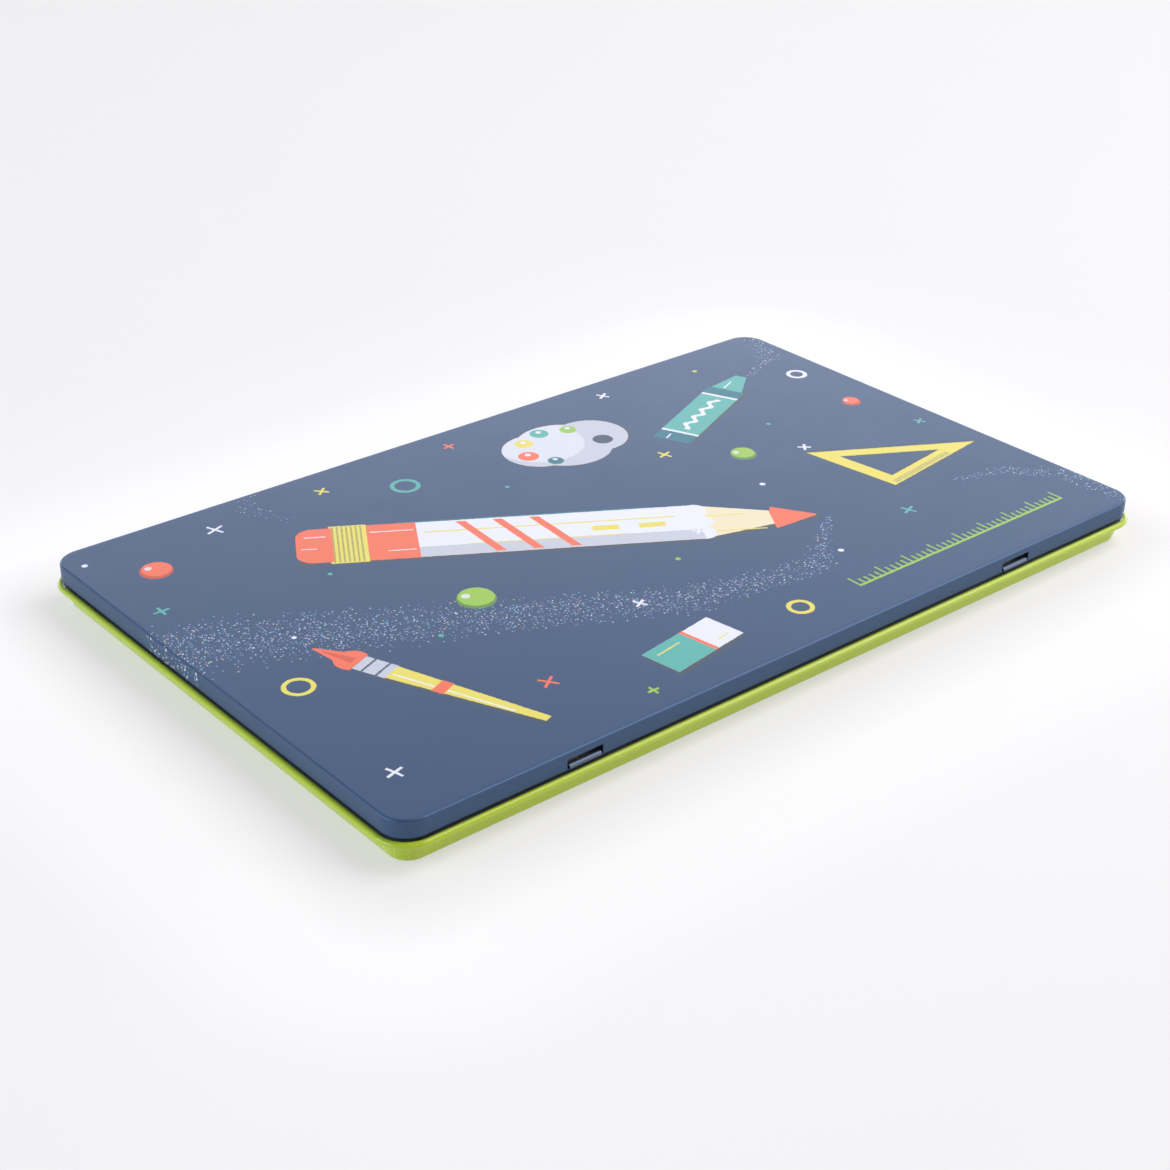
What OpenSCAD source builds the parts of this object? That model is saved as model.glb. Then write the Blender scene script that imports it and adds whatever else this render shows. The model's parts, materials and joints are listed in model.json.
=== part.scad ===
// A flat hinged tin of thirty-six colored pencils. Millimetres.
//
// The tin lies shut on its foot. Z is up, X runs along the long side, the hinge is on the +Y side
// and the lid opens from the -Y side. The origin is in the middle of the tin, where it stands.
//
// Both halves of the tin are drawn from sheet. Each is its cross-section, swept once round a
// rectangle with round corners, and closed by a flat panel. A cross-section is drawn with x as the
// distance out from the side of the lid (negative is inward) and with y as the height.

/* [Lid] */
// Length of the closed lid
lid_length = 300; // [296:1:320]
// Width of the closed lid
lid_width = 187; // [186:1:200]
// Height of the closed tin
tin_height = 15; // [14.5:0.5:18]
// Height of the lid's side
skirt_height = 6; // [5.6:0.1:6.4]
// Radius of the lid's corners, seen from above
lid_corner = 8.5; // [6:0.5:10]
// Radius where the lid's top turns down
lid_edge = 1; // [0.5:0.1:1.5]
// Diameter of the round curl that ends the lid's side
curl_d = 1.5; // [1.3:0.1:1.6]

/* [Base] */
// Radius of the base's corners, measured on the line of the lid's side
base_corner = 9; // [8.5:0.5:14]
// Gap between the lid's side and the bead that it closes on
bead_gap = 0.5; // [0.3:0.1:0.6]
// Height of the bead around the base
bead_d = 2; // [1.8:0.1:2.6]
// How far the shoulder behind the bead lies below the bead's top
shoulder_drop = 0.4; // [0.3:0.1:0.6]
// How far the bead stands out past the lid
bead_out = 1.6; // [1:0.1:2]
// How far the wall is set in under the bead
wall_top_inset = 1.05; // [0.5:0.05:1.2]
// How far the wall is set in at the foot
wall_foot_inset = 2.4; // [1.5:0.1:2.6]
// Outside radius between the wall and the foot
foot_radius = 1.5; // [1:0.1:2]
// Width of the flat foot ring
foot_width = 2; // [1:0.5:4]
// Height of the raised bottom panel above the foot
panel_rise = 0.5; // [0.4:0.1:1]
// Diameter of the hem along the base's top edge
hem_d = 1; // [0.8:0.1:1.2]

/* [Hinge] */
// Distance of each hinge from the middle of the tin
hinge_x = 88.7; // [40:0.1:120]
// Width of the window in the lid's side
window_width = 12.6; // [8:0.1:16]
// Height of the window above the middle of the curl
window_height = 3; // [2.2:0.1:3.4]
// Width of the hooked tongue that comes through the window
tongue_width = 11.2; // [6:0.1:11.5]
// How far the tongue wraps around the curl, in degrees
tongue_wrap = 185; // [120:5:195]
// Running gap between the curl and the tongue
hinge_gap = 0.08; // [0.05:0.01:0.1]
// Gap between the curl and the neck inside it, which lets the front of the lid swing up
neck_gap = 0.2; // [0.15:0.01:0.25]

/* [Pencils] */
// Length of a pencil
pencil_length = 175; // [150:1:176]
// Size of a pencil across its flats
pencil_flats = 7; // [6.5:0.1:7.2]
// Diameter of the colored lead
lead_d = 3; // [2:0.1:3.8]
// Diameter of the blunted point
point_d = 0.7; // [0.4:0.1:1.5]
// Half angle of the sharpened cone, in degrees
cone_angle = 10.5; // [9:0.5:14]
// Bevel of the casing's flat end
end_bevel = 0.6; // [0:0.1:1]

/* [Tray] */
// Gap between the tray's wall and the line of the lid's side
tray_inset = 4.2; // [4:0.1:5]
// Radius of the tray's corners, inside its wall
tray_corner = 2.5; // [1:0.5:3]
// Height of the tray's rim above the table
tray_top = 11.5; // [9:0.1:12]
// Width of the flange around the tray's rim
flange_width = 1.8; // [1:0.1:2]
// Height of the bottom of the pencil grooves above the table
groove_floor = 2.6; // [1.8:0.1:3]
// Width of the finger trough across the grooves
trough_width = 34; // [20:1:50]
// Distance of the trough's middle from the middle of the tin, away from the hinge
trough_shift = 20; // [0:1:50]

/* [Hidden] */
$fn = 48;
sheet = 0.3;
tray_sheet = 0.4;
pencil_count = 36;
touch_gap = 0.05;

// The two halves of the tin, as heights above the table
skirt_z = tin_height - skirt_height;
bead_top = skirt_z - bead_gap;
bead_z = bead_top - bead_d / 2;
bead_under = bead_top - bead_d;
shoulder_top = bead_top - shoulder_drop;
hem_top = tin_height - sheet - touch_gap;
hem_wrap = 300;
panel_top = panel_rise + sheet;

// The hinge axis is the middle of the lid's curl
curl_r = curl_d / 2;
axis_z = skirt_z + curl_r;
axis_y = lid_width / 2 - curl_r;
tongue_r = curl_r + hinge_gap;
tongue_length = (tongue_r + sheet / 2) * tongue_wrap * PI / 180;
neck = curl_d + neck_gap;
kerf = 0.15;

// The wall leans out from the foot to the bead, on a line that touches the foot's radius
foot_edge = wall_foot_inset + foot_radius;
foot_inner = foot_edge + foot_width;
wall_reach = norm([foot_edge - wall_top_inset, bead_under - foot_radius]);
wall_swing = asin(foot_radius / wall_reach);
wall_lean = atan2(foot_edge - wall_top_inset, bead_under - foot_radius) - wall_swing;
wall_length = wall_reach * cos(wall_swing) + sheet / 2;
// How far the foot's bend runs on inside the wall, in degrees
bend_lap = 6;
// The round bead meets the middle of the shoulder's sheet at this angle, on its far side
bead_end = 180 - asin((shoulder_top - sheet / 2 - bead_z) / (bead_d / 2));
bead_far = bead_out - bead_d / 2 + (bead_d / 2 - sheet / 2) * cos(bead_end);

// The tray and its grooves
tray_width = lid_width - 2 * tray_inset;
bed_length = lid_length - 2 * (tray_inset + tray_sheet);
pencil_pitch = bed_length / pencil_count;
groove_slope = 30;
groove_depth = pencil_pitch / 2 * tan(groove_slope);
groove_skin = tray_sheet / cos(groove_slope);
trough_y = -trough_shift;

// A pencil lies in its groove on one corner of its hexagon
pencil_r = pencil_flats / 2 / cos(30);
pencil_z = groove_floor + pencil_r + touch_gap;
cone_length = (pencil_r - point_d / 2) / tan(cone_angle);
lead_bare = (lead_d - point_d) / 2 / tan(cone_angle);

function pencil_name(i) = str("pencil_", i < 10 ? "0" : "", i);
function pencil_x(i) = (i - (pencil_count + 1) / 2) * pencil_pitch;

// ---- Shared shapes ----

// A strip of a cross-section: out from x0 to x1, up from z0 to z1
module strip(x0, x1, z0, z1) {
    translate([x0, z0]) square([x1 - x0, z1 - z0]);
}

// A closed ring of sheet in a cross-section
module ring(r) {
    difference() {
        circle(r);
        circle(r - sheet);
    }
}

// A bent piece of sheet in a cross-section: outside radius r, from angle a0 to angle a1
module bend(r, a0, a1) {
    steps = 4;
    reach = r * 2;
    turn = (a1 - a0) / steps;
    intersection() {
        ring(r);
        polygon(concat([[0, 0]], [for (k = [0 : steps]) reach * [cos(a0 + k * turn), sin(a0 + k * turn)]]));
    }
}

// Sweeps a cross-section around the tin, on a rectangle with the given corner radius
module around(corner) {
    half_x = lid_length / 2 - corner;
    half_y = lid_width / 2 - corner;
    for (turn = [0 : 3]) {
        long_side = turn % 2 == 1;
        run = 2 * (long_side ? half_x : half_y);
        out = (long_side ? half_y : half_x) + corner;
        rotate([0, 0, turn * 90])
            translate([out, run / 2, 0])
                rotate([90, 0, 0]) linear_extrude(run) children();
        rotate([0, 0, turn * 90])
            translate([long_side ? half_y : half_x, run / 2, 0])
                rotate_extrude(angle = 90) translate([corner, 0]) children();
    }
}

// A flat plate with round corners, inset from the line of the lid's side
module plate(inset, corner, z, thickness) {
    r = corner - inset;
    size_x = lid_length - 2 * inset;
    size_y = lid_width - 2 * inset;
    translate([0, 0, z]) linear_extrude(thickness) {
        square([size_x, size_y - 2 * r], center = true);
        square([size_x - 2 * r, size_y], center = true);
        for (sx = [-1, 1], sy = [-1, 1])
            translate([sx * (size_x / 2 - r), sy * (size_y / 2 - r)]) circle(r);
    }
}

// Places its children at both hinges, on the axis of the curl
module at_hinges() {
    for (side = [-1, 1]) translate([side * hinge_x, axis_y, axis_z]) children();
}

// A round bar along X, on the hinge axis
module bar(r, length) {
    rotate([0, 90, 0]) cylinder(r = r, h = length, center = true);
}

// ---- Base ----

// The wall, the bead that the lid closes on and the neck that goes up inside the lid
module base_section() {
    // foot ring, and the step up to the raised bottom panel
    strip(-foot_inner, -foot_edge, 0, sheet);
    strip(-foot_inner - sheet, -foot_inner, 0, panel_top);
    translate([-foot_edge, foot_radius]) bend(foot_radius, -90, bend_lap - wall_lean);
    // leaning wall
    translate([-foot_edge, foot_radius]) rotate(-wall_lean)
        strip(foot_radius - sheet, foot_radius, 0, wall_length);
    // bead, a round roll of sheet, and the lower shoulder behind it
    strip(-wall_top_inset - sheet, bead_out - bead_d / 2, bead_under, bead_under + sheet);
    translate([bead_out - bead_d / 2, bead_z]) bend(bead_d / 2, -90, bead_end);
    strip(-neck - sheet, bead_far, shoulder_top - sheet, shoulder_top);
    // neck, and the hem along its top
    strip(-neck - sheet, -neck, shoulder_top - sheet, hem_top - hem_d / 2);
    translate([-neck - hem_d / 2, hem_top - hem_d / 2]) bend(hem_d / 2, 0, hem_wrap);
}

// The opening that a tongue leaves in the neck when it is bent out
module tongue_opening() {
    translate([-tongue_width / 2 - kerf, curl_r - neck - 2 * sheet, 0])
        cube([tongue_width + 2 * kerf, 3 * sheet, tongue_length]);
}

// The tongue, bent out of the neck and over the lid's curl
module tongue() {
    rotate([90, 0, 90]) translate([0, 0, -tongue_width / 2])
        linear_extrude(tongue_width) bend(tongue_r + sheet, 180 - tongue_wrap, 180);
}

module base_tin() {
    color("#a3b43f") union() {
        difference() {
            around(base_corner) base_section();
            at_hinges() tongue_opening();
        }
        plate(foot_inner, base_corner, panel_rise, sheet);
        at_hinges() tongue();
    }
}

// ---- Lid ----

module lid_section() {
    strip(-lid_edge - sheet, -lid_edge, tin_height - sheet, tin_height);
    translate([-lid_edge, tin_height - lid_edge]) bend(lid_edge, 0, 90);
    strip(-sheet, 0, axis_z, tin_height - lid_edge);
    translate([-curl_r, axis_z]) ring(curl_r);
}

// A window lets a tongue through the lid's side, and leaves the round curl whole below it
module window() {
    difference() {
        translate([-window_width / 2, 0, 0]) cube([window_width, 2 * curl_r, window_height]);
        bar(curl_r, window_width + 1);
    }
}

module lid() {
    color("#4d6285") difference() {
        union() {
            around(lid_corner) lid_section();
            plate(lid_edge, lid_corner, tin_height - sheet, sheet);
        }
        at_hinges() window();
    }
}

// ---- Tray ----

// The grooves across the tray, as points from left to right, lifted by a height. The line runs on
// at both ends into the tray's wall.
function groove_line(lift) =
  let(wall = bed_length / 2 + tray_sheet / 2, crest = groove_floor + groove_depth) concat(
    [[-wall, crest + lift]],
    [for (i = [0 : 2 * pencil_count])
        [(i / 2 - pencil_count / 2) * pencil_pitch, (i % 2 == 0 ? crest : groove_floor) + lift]],
    [[wall, crest + lift]]
);

function reversed(points) = [for (i = [len(points) - 1 : -1 : 0]) points[i]];

// A length of grooved bed, from one y to another
module grooves(y0, y1) {
    translate([0, y1, 0]) rotate([90, 0, 0]) linear_extrude(y1 - y0)
        polygon(concat(groove_line(-groove_skin), reversed(groove_line(0))));
}

// A wall that closes the end of the grooves, from the tray's floor up to them
module groove_end(y) {
    foot = [for (side = [1, -1]) [side * (bed_length + tray_sheet) / 2, panel_top]];
    translate([0, y + tray_sheet / 2, 0]) rotate([90, 0, 0]) linear_extrude(tray_sheet)
        polygon(concat(groove_line(0), foot));
}

// The space inside the tray's wall, or the block that the wall is cut from
module tray_block(inset, height) {
    plate(tray_inset + inset, tray_inset + tray_sheet + tray_corner, panel_top, height);
}

// The grooved bed and the trough across it, let half way into the wall
module tray_bed() {
    trough_near = trough_y - trough_width / 2;
    trough_far = trough_y + trough_width / 2;
    bed_edge = tray_width / 2 - tray_sheet / 2;
    grooves(-bed_edge, trough_near);
    grooves(trough_far, bed_edge);
    for (y = [trough_near, trough_far]) groove_end(y);
    translate([0, trough_y, panel_top + tray_sheet / 2])
        cube([bed_length + tray_sheet, trough_width, tray_sheet], center = true);
}

module pencil_tray() {
    wall_height = tray_top - panel_top;
    color("#f2f2ee") union() {
        intersection() {
            tray_bed();
            tray_block(tray_sheet / 2, wall_height);
        }
        difference() {
            union() {
                tray_block(0, wall_height);
                plate(tray_inset - flange_width, base_corner, tray_top - tray_sheet, tray_sheet);
            }
            translate([0, 0, -panel_top]) tray_block(tray_sheet, tin_height);
        }
    }
}

// ---- Pencils ----

// Places its children where pencil i lies: z runs along the pencil from its flat end to its point
module at_pencil(i) {
    translate([pencil_x(i), -pencil_length / 2, pencil_z]) rotate([-90, 0, 0]) children();
}

// A six-sided wooden casing, sharpened to a cone and bored for the lead
module casing() {
    cone_start = pencil_length - cone_length;
    wood_end = pencil_length - lead_bare;
    difference() {
        intersection() {
            rotate([0, 0, 30]) cylinder(r = pencil_r, h = pencil_length, $fn = 6);
            rotate_extrude() polygon([
                [0, 0], [pencil_r - end_bevel, 0], [pencil_r, end_bevel],
                [pencil_r, cone_start], [lead_d / 2, wood_end], [0, wood_end]
            ]);
        }
        translate([0, 0, -1]) cylinder(d = lead_d, h = pencil_length + 2);
    }
}

// A round lead that fills the casing and ends in the point
module lead() {
    rotate_extrude() polygon([
        [0, 0], [lead_d / 2, 0], [lead_d / 2, pencil_length - lead_bare],
        [point_d / 2, pencil_length], [0, pencil_length]
    ]);
}

module pencil(i) {
    color("#d8b384") at_pencil(i) casing();
}

module pencil_leads() {
    color("#c8452f") for (i = [1 : pencil_count]) at_pencil(i) lead();
}

base_tin();
lid();
pencil_tray();
pencil_leads();
for (i = [1 : pencil_count])
    pencil(i);
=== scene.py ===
# %% [markdown]
# # A flat hinged tin of thirty-six colored pencils
#
# The tin is pressed from thin tinplate. A navy lid with a printed picture closes over a lime green
# base, and a white plastic tray inside holds one row of pencils. The engineering model of the tin
# is loaded first and never changed. It says where everything is, and it turns the lid. The lesson
# builds the visible pieces around it: sheet metal with real thickness and rolled edges, soft
# plastic, lacquered wood, and a finish for each.

# %% Load the engineering model
import json
import math

import bmesh
import bpy
from mathutils import Matrix, Vector


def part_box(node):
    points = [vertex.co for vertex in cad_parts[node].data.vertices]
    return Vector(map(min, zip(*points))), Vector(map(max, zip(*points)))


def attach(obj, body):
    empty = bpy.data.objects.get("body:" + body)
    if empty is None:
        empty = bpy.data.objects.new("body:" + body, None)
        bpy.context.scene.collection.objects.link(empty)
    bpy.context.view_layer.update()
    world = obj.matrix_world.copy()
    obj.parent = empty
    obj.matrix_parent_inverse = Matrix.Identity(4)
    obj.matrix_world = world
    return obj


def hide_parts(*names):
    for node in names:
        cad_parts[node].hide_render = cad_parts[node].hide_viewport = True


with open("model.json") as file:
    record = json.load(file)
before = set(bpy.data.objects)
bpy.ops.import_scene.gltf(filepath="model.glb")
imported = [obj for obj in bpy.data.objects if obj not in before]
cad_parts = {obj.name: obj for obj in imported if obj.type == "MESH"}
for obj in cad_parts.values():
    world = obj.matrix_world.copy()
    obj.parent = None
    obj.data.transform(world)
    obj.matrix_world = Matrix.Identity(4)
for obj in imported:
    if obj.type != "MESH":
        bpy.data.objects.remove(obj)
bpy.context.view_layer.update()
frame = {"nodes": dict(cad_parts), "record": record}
MM = 0.001
lid_low, lid_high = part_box("lid")
print("the lid measures", [round(s / MM, 2) for s in lid_high - lid_low], "mm")

# %% [markdown]
# ## Where the camera stands
#
# A camera's place could be typed in as a point and three angles. It is easier to think of it as a
# product photographer does: the point that it looks at, how far away it stands, how far round it
# has walked, how high it is lifted, and how much it is tipped. From those the three axes of the
# camera are worked out, and they become the columns of its matrix. The far end of the tin is
# smaller than the near one, because the camera is close, so the distance matters.

# %% Place the camera
LOOK_AT = Vector((22.149, 13.603, 7.0)) * MM
STAND_OFF = 655.649 * MM
WALK_ROUND, LIFT, TIP = (math.radians(angle) for angle in (139.886, 28.642, 0.538))
FOCAL_PIXELS = 2091.68
PICTURE_PIXELS = 1170
SENSOR_MM = 36.0

back = Vector((math.sin(WALK_ROUND) * math.cos(LIFT), -math.cos(WALK_ROUND) * math.cos(LIFT),
               math.sin(LIFT)))
level = Vector((math.cos(WALK_ROUND), math.sin(WALK_ROUND), 0))
right = level * math.cos(TIP) + back.cross(level) * math.sin(TIP)
up = back.cross(right)

camera_data = bpy.data.cameras.new("studio_camera")
camera_data.sensor_width = SENSOR_MM
camera_data.lens = FOCAL_PIXELS / PICTURE_PIXELS * SENSOR_MM
camera = bpy.data.objects.new("studio_camera", camera_data)
bpy.context.scene.collection.objects.link(camera)
camera.matrix_world = (Matrix.Translation(LOOK_AT + back * STAND_OFF)
                       @ Matrix((right, up, back)).transposed().to_4x4())
bpy.context.scene.camera = camera
print(f"lens {camera_data.lens:.2f} mm, {STAND_OFF / MM:.0f} mm from the tin")

# %% [markdown]
# ## Wires: shader maths written as Python
#
# A finish is a small machine of nodes: patterns go in, and a color or a roughness comes out.
# Hundreds of Math nodes are hard to read, so one class wraps an output socket and lets Python's
# own operators add the nodes. An expression such as `1 - mask * 0.5` then builds itself. Every
# other kind of node comes from the method `node`, which first sets what the node does and then
# fills its sockets with numbers or with other wires.

# %% The wire class
class Wire:
    """One output socket of a material's nodes, or just the node tree before the first node."""

    def __init__(self, tree, socket=None):
        self.tree, self.socket = tree, socket

    def node(self, kind, settings=None, inputs=None, output=0):
        """Adds a node, with its settings first and then the value or wire of each input."""
        made = self.tree.nodes.new(kind)
        for name, value in (settings or {}).items():
            if name == "stops":
                stops = made.color_ramp.elements
                while len(stops) < len(value):
                    stops.new(1.0)
                for stop, (place, color) in zip(stops, value):
                    stop.position, stop.color = place, color
            elif name == "interpolation":
                made.color_ramp.interpolation = value
            else:
                setattr(made, name, value)
        for key, value in (inputs or {}).items():
            if isinstance(value, Wire):
                self.tree.links.new(value.socket, made.inputs[key])
            else:
                made.inputs[key].default_value = value
        return Wire(self.tree, made.outputs[output])

    def math(self, operation, *values, clamp=False):
        return self.node("ShaderNodeMath", {"operation": operation, "use_clamp": clamp},
                         dict(enumerate(values)))

    def vector(self, operation, *values, output=0):
        return self.node("ShaderNodeVectorMath", {"operation": operation},
                         dict(enumerate(values)), output)

    def __add__(self, other):
        return self.math("ADD", self, other)

    def __sub__(self, other):
        return self.math("SUBTRACT", self, other)

    def __rsub__(self, other):
        return self.math("SUBTRACT", other, self)

    def __mul__(self, other):
        return self.math("MULTIPLY", self, other)

    def __truediv__(self, other):
        return self.math("DIVIDE", self, other)

    def __abs__(self):
        return self.math("ABSOLUTE", self)

    __radd__, __rmul__ = __add__, __mul__

    def least(self, other):
        return self.math("MINIMUM", self, other)

    def most(self, other):
        return self.math("MAXIMUM", self, other)

    def within(self):
        """The same value, held between 0 and 1."""
        return self.math("ADD", self, 0.0, clamp=True)

    def folded(self, length):
        """The value folded back and forth, so that one mark becomes a whole row."""
        return self.math("PINGPONG", self, length)

    def parts(self):
        """The three numbers of a vector or a color."""
        split = self.tree.nodes.new("ShaderNodeSeparateXYZ")
        self.tree.links.new(self.socket, split.inputs[0])
        return [Wire(self.tree, split.outputs[k]) for k in range(3)]

    def scaled(self, factor):
        """The same vector, made longer or shorter."""
        return self.node("ShaderNodeVectorMath", {"operation": "SCALE"},
                         {0: self, "Scale": factor})

    def ramp(self, *stops, interpolation="LINEAR"):
        """The color that a row of (place, color) stops has at this value."""
        return self.node("ShaderNodeValToRGB", {"stops": stops, "interpolation": interpolation},
                         {0: self})

    def between(self, low, high):
        """The color that lies this far from one color to another."""
        return self.node("ShaderNodeMix", {"data_type": "RGBA"}, {0: self, 6: low, 7: high}, 2)

    def mixed(self, mask, color):
        """This color, covered by another one where the mask is 1."""
        return mask.between(self, color)


print("wires are ready")

# %% [markdown]
# ## Starting a finish
#
# Paint makers give colors as screen values from 0 to 255, and light is worked out in linear
# values, so one small function converts them. Another starts a material: it makes the surface
# shader and hands back two things. They are the place on the piece in millimetres, which is the
# first wire to build on, and a function that plugs the finished values in. Patterns are laid out
# in the object's own coordinates, so they stay on the metal when the lid turns.

# %% Colors and a bare material
def paint(red, green, blue):
    """A color of 0 to 255 screen values, as linear light."""
    linear = [(v / 255 / 12.92) if v <= 10 else ((v / 255 + 0.055) / 1.055) ** 2.4
              for v in (red, green, blue)]
    return (*linear, 1.0)


def named(name):
    """The material of that name. It can be handed out before its finish is mixed."""
    return bpy.data.materials.get(name) or bpy.data.materials.new(name)


def start_finish(name, **constants):
    """Starts a material. Sockets that are the same all over are set here, by their names."""
    material = named(name)
    material.use_nodes = True
    tree = material.node_tree
    tree.nodes.clear()
    output = tree.nodes.new("ShaderNodeOutputMaterial")
    surface = tree.nodes.new("ShaderNodeBsdfPrincipled")
    tree.links.new(surface.outputs[0], output.inputs["Surface"])
    for socket, value in constants.items():
        surface.inputs[socket.replace("_", " ")].default_value = value
    place = Wire(tree).node("ShaderNodeTexCoord", output="Object").scaled(1 / MM)

    def plug(**wires):
        for socket, value in wires.items():
            target = surface.inputs[socket.replace("_", " ")]
            if isinstance(value, Wire):
                tree.links.new(value.socket, target)
            else:
                target.default_value = value
        return material

    return place, plug


def noise(place, size, detail=2.0, stretch=(1, 1, 1)):
    """A cloudy pattern from 0 to 1, whose lumps are about size millimetres across."""
    spread = place.vector("MULTIPLY", place, stretch)
    return place.node("ShaderNodeTexNoise",
                      inputs={"Vector": spread, "Scale": 1 / size, "Detail": detail})


def bump(height, depth_mm):
    """A normal that tilts as if the surface rose by up to depth_mm."""
    return height.node("ShaderNodeBump",
                       inputs={"Strength": 1.0, "Distance": depth_mm * MM, "Height": height})


print("navy in linear light:", [round(v, 3) for v in paint(60, 80, 120)])

# %% [markdown]
# ## The table and the light
#
# The tin lies on a plain white sweep. Its round floor is much wider than the view, and past it
# the camera sees plain white instead of the sky that does the lighting. The floor has some light
# of its own, most of it a few centimetres from the tin, like a sweep that is lit from below. That
# leaves only a soft shadow at the foot of the tin. Four things shape the metal. The sky is dim in
# front and glows low behind the tin, like a lit wall, and the lid mirrors that glow more strongly
# at its far end. A large panel overhead lights the top. A wide one faces the short side squarely,
# so the camera misses its mirror image, and the edge above that side stays a thin dark line. A
# small one lights the far end of the long side. The picture is shown without a film look, so that
# paint colors stay as they were mixed.

# %% Floor, sky and soft panels
def only(*objects):
    """Leaves edit mode, and selects these objects and no others. The first one is active."""
    if bpy.context.object and bpy.context.object.mode != "OBJECT":
        bpy.ops.object.mode_set(mode="OBJECT")
    bpy.ops.object.select_all(action="DESELECT")
    for item in objects:
        item.select_set(True)
    bpy.context.view_layer.objects.active = objects[0] if objects else None


def soft_panel(name, place, size, watts, color):
    """A square area light that faces the middle of the tin."""
    light = bpy.data.lights.new(name, "AREA")
    light.size, light.energy, light.color = size, watts, color
    panel = bpy.data.objects.new(name, light)
    bpy.context.scene.collection.objects.link(panel)
    panel.location = place
    panel.rotation_euler = (-Vector(place)).to_track_quat("-Z", "Y").to_euler()


SKY, GLOW, GLOW_TOP, GLOW_FOOT = 0.31, 5.6, 0.60, 0.18
FLOOR_RADIUS, BACKDROP, LIT_REACH = 3.6, 0.95, 150
bpy.context.scene.view_settings.view_transform = "Standard"
sky = bpy.data.worlds.new("studio_sky")
sky.use_nodes = True
backdrop = sky.node_tree.nodes["Background"]
way = Wire(sky.node_tree).node("ShaderNodeTexCoord", output="Generated")
behind = way.vector("DOT_PRODUCT", way, (-back.x, -back.y, 0), output=1).within()
height = way.parts()[2]
low = ((GLOW_TOP - height) * (1 / (GLOW_TOP - GLOW_FOOT))).within()
strength = behind * low * low * GLOW + SKY
seen = strength.node("ShaderNodeLightPath", output="Is Camera Ray")
strength = strength + seen * (BACKDROP - strength)
backdrop.inputs["Color"].default_value = paint(241, 244, 255)
sky.node_tree.links.new(strength.socket, backdrop.inputs["Strength"])
bpy.context.scene.world = sky

only()
bpy.ops.mesh.primitive_circle_add(vertices=96, radius=FLOOR_RADIUS, fill_type="NGON")
floor = bpy.context.object
floor.name = "studio_floor"
place, plug = start_finish("white_sweep", Roughness=0.75, Specular_IOR_Level=0.1,
                           Emission_Strength=1.0)
tone = noise(place, 400).between(paint(157, 155, 154), paint(160, 158, 157))
outside = place.vector("SUBTRACT", place.vector("ABSOLUTE", place), lid_high / MM)
away = outside.vector("LENGTH", outside.vector("MAXIMUM", outside, (0, 0, 0)), output=1)
lit = (away / LIT_REACH).ramp(
    (0.0, paint(187, 185, 186)), (0.05, paint(190, 188, 189)), (0.2, paint(204, 202, 203)),
    (0.33, paint(201, 199, 200)), (0.5, paint(192, 190, 191)), (1.0, paint(187, 185, 186)))
floor.data.materials.append(plug(Base_Color=tone, Emission_Color=lit))
soft_panel("top_panel", (-1.37, 0.60, 1.88), 1.8, 47, (1.0, 0.99, 0.98))
soft_panel("left_panel", (2.06, -0.55, 0.68), 1.9, 36, (0.74, 0.92, 1.0))
soft_panel("right_panel", (-0.6, 0.7, 0.3), 0.4, 2, (0.98, 0.99, 1.0))
print("stage objects:", floor.name)

# %% [markdown]
# ## Drawing a cross-section
#
# Both halves of the tin are one strip of sheet metal, seen end on, carried once round the tin.
# So each is drawn as a line first. A corner of that line is a bend, and a press can't make a sharp
# one, so a helper swaps each corner for an arc of its own radius. Another gives the round curls.
# Points are (out, height) in millimetres: out is measured from the line of the lid's side, and
# negative is inward. The line is then drawn in Blender as by hand: a plane is collapsed to one
# point, and the point is extruded again and again.

# %% Line helpers
ARC_STEP = math.radians(15)


def arc(out, height, radius, start, end):
    """Points along a circle around (out, height), between two angles in degrees."""
    start, end = math.radians(start), math.radians(end)
    steps = max(2, round(abs(end - start) / ARC_STEP))
    angles = [start + (end - start) * k / steps for k in range(steps + 1)]
    return [Vector((out + radius * math.cos(a), height + radius * math.sin(a))) for a in angles]


def bent(corners):
    """A line through corners (out, height, bend radius), with every inner corner rounded."""
    line = [Vector(corners[0][:2])]
    for before, corner, after in zip(corners, corners[1:], corners[2:]):
        middle = Vector(corner[:2])
        back_way = (Vector(before[:2]) - middle).normalized()
        on_way = (Vector(after[:2]) - middle).normalized()
        turn = math.pi - back_way.angle(on_way)
        centre = middle + (back_way + on_way).normalized() * corner[2] / math.cos(turn / 2)
        spoke = middle + back_way * corner[2] * math.tan(turn / 2) - centre
        steps = max(2, round(turn / ARC_STEP))
        side = math.copysign(1, on_way.x * back_way.y - on_way.y * back_way.x)
        for k in range(steps + 1):
            line.append(centre + Matrix.Rotation(side * turn * k / steps, 2) @ spoke)
    return line + [Vector(corners[-1][:2])]


def select_all():
    bpy.ops.mesh.select_all(action="SELECT")


def shift(x, y, z):
    """Moves what is selected by so many millimetres."""
    bpy.ops.transform.translate(value=(x * MM, y * MM, z * MM))


def draw_out(x, y, z):
    """Extrudes what is selected by so many millimetres."""
    bpy.ops.mesh.extrude_region_move(TRANSFORM_OT_translate={"value": (x * MM, y * MM, z * MM)})


def draw_line(name, points):
    """A mesh of one line through points in millimetres. It is left in edit mode, all selected."""
    only()
    bpy.ops.mesh.primitive_plane_add(size=MM)
    piece = bpy.context.object
    piece.name = piece.data.name = name
    bpy.ops.object.mode_set(mode="EDIT")
    bpy.ops.mesh.select_mode(type="VERT")
    select_all()
    bpy.ops.mesh.merge(type="CENTER")
    shift(*points[0])
    for before, after in zip(points, points[1:]):
        bpy.ops.mesh.extrude_vertices_move(
            TRANSFORM_OT_translate={"value": (after - before) * MM})
    select_all()
    return piece


print("a 1 mm bend has", len(bent([(-5, 15, 0), (0, 15, 1), (0, 10, 0)])) - 2, "points")

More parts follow.
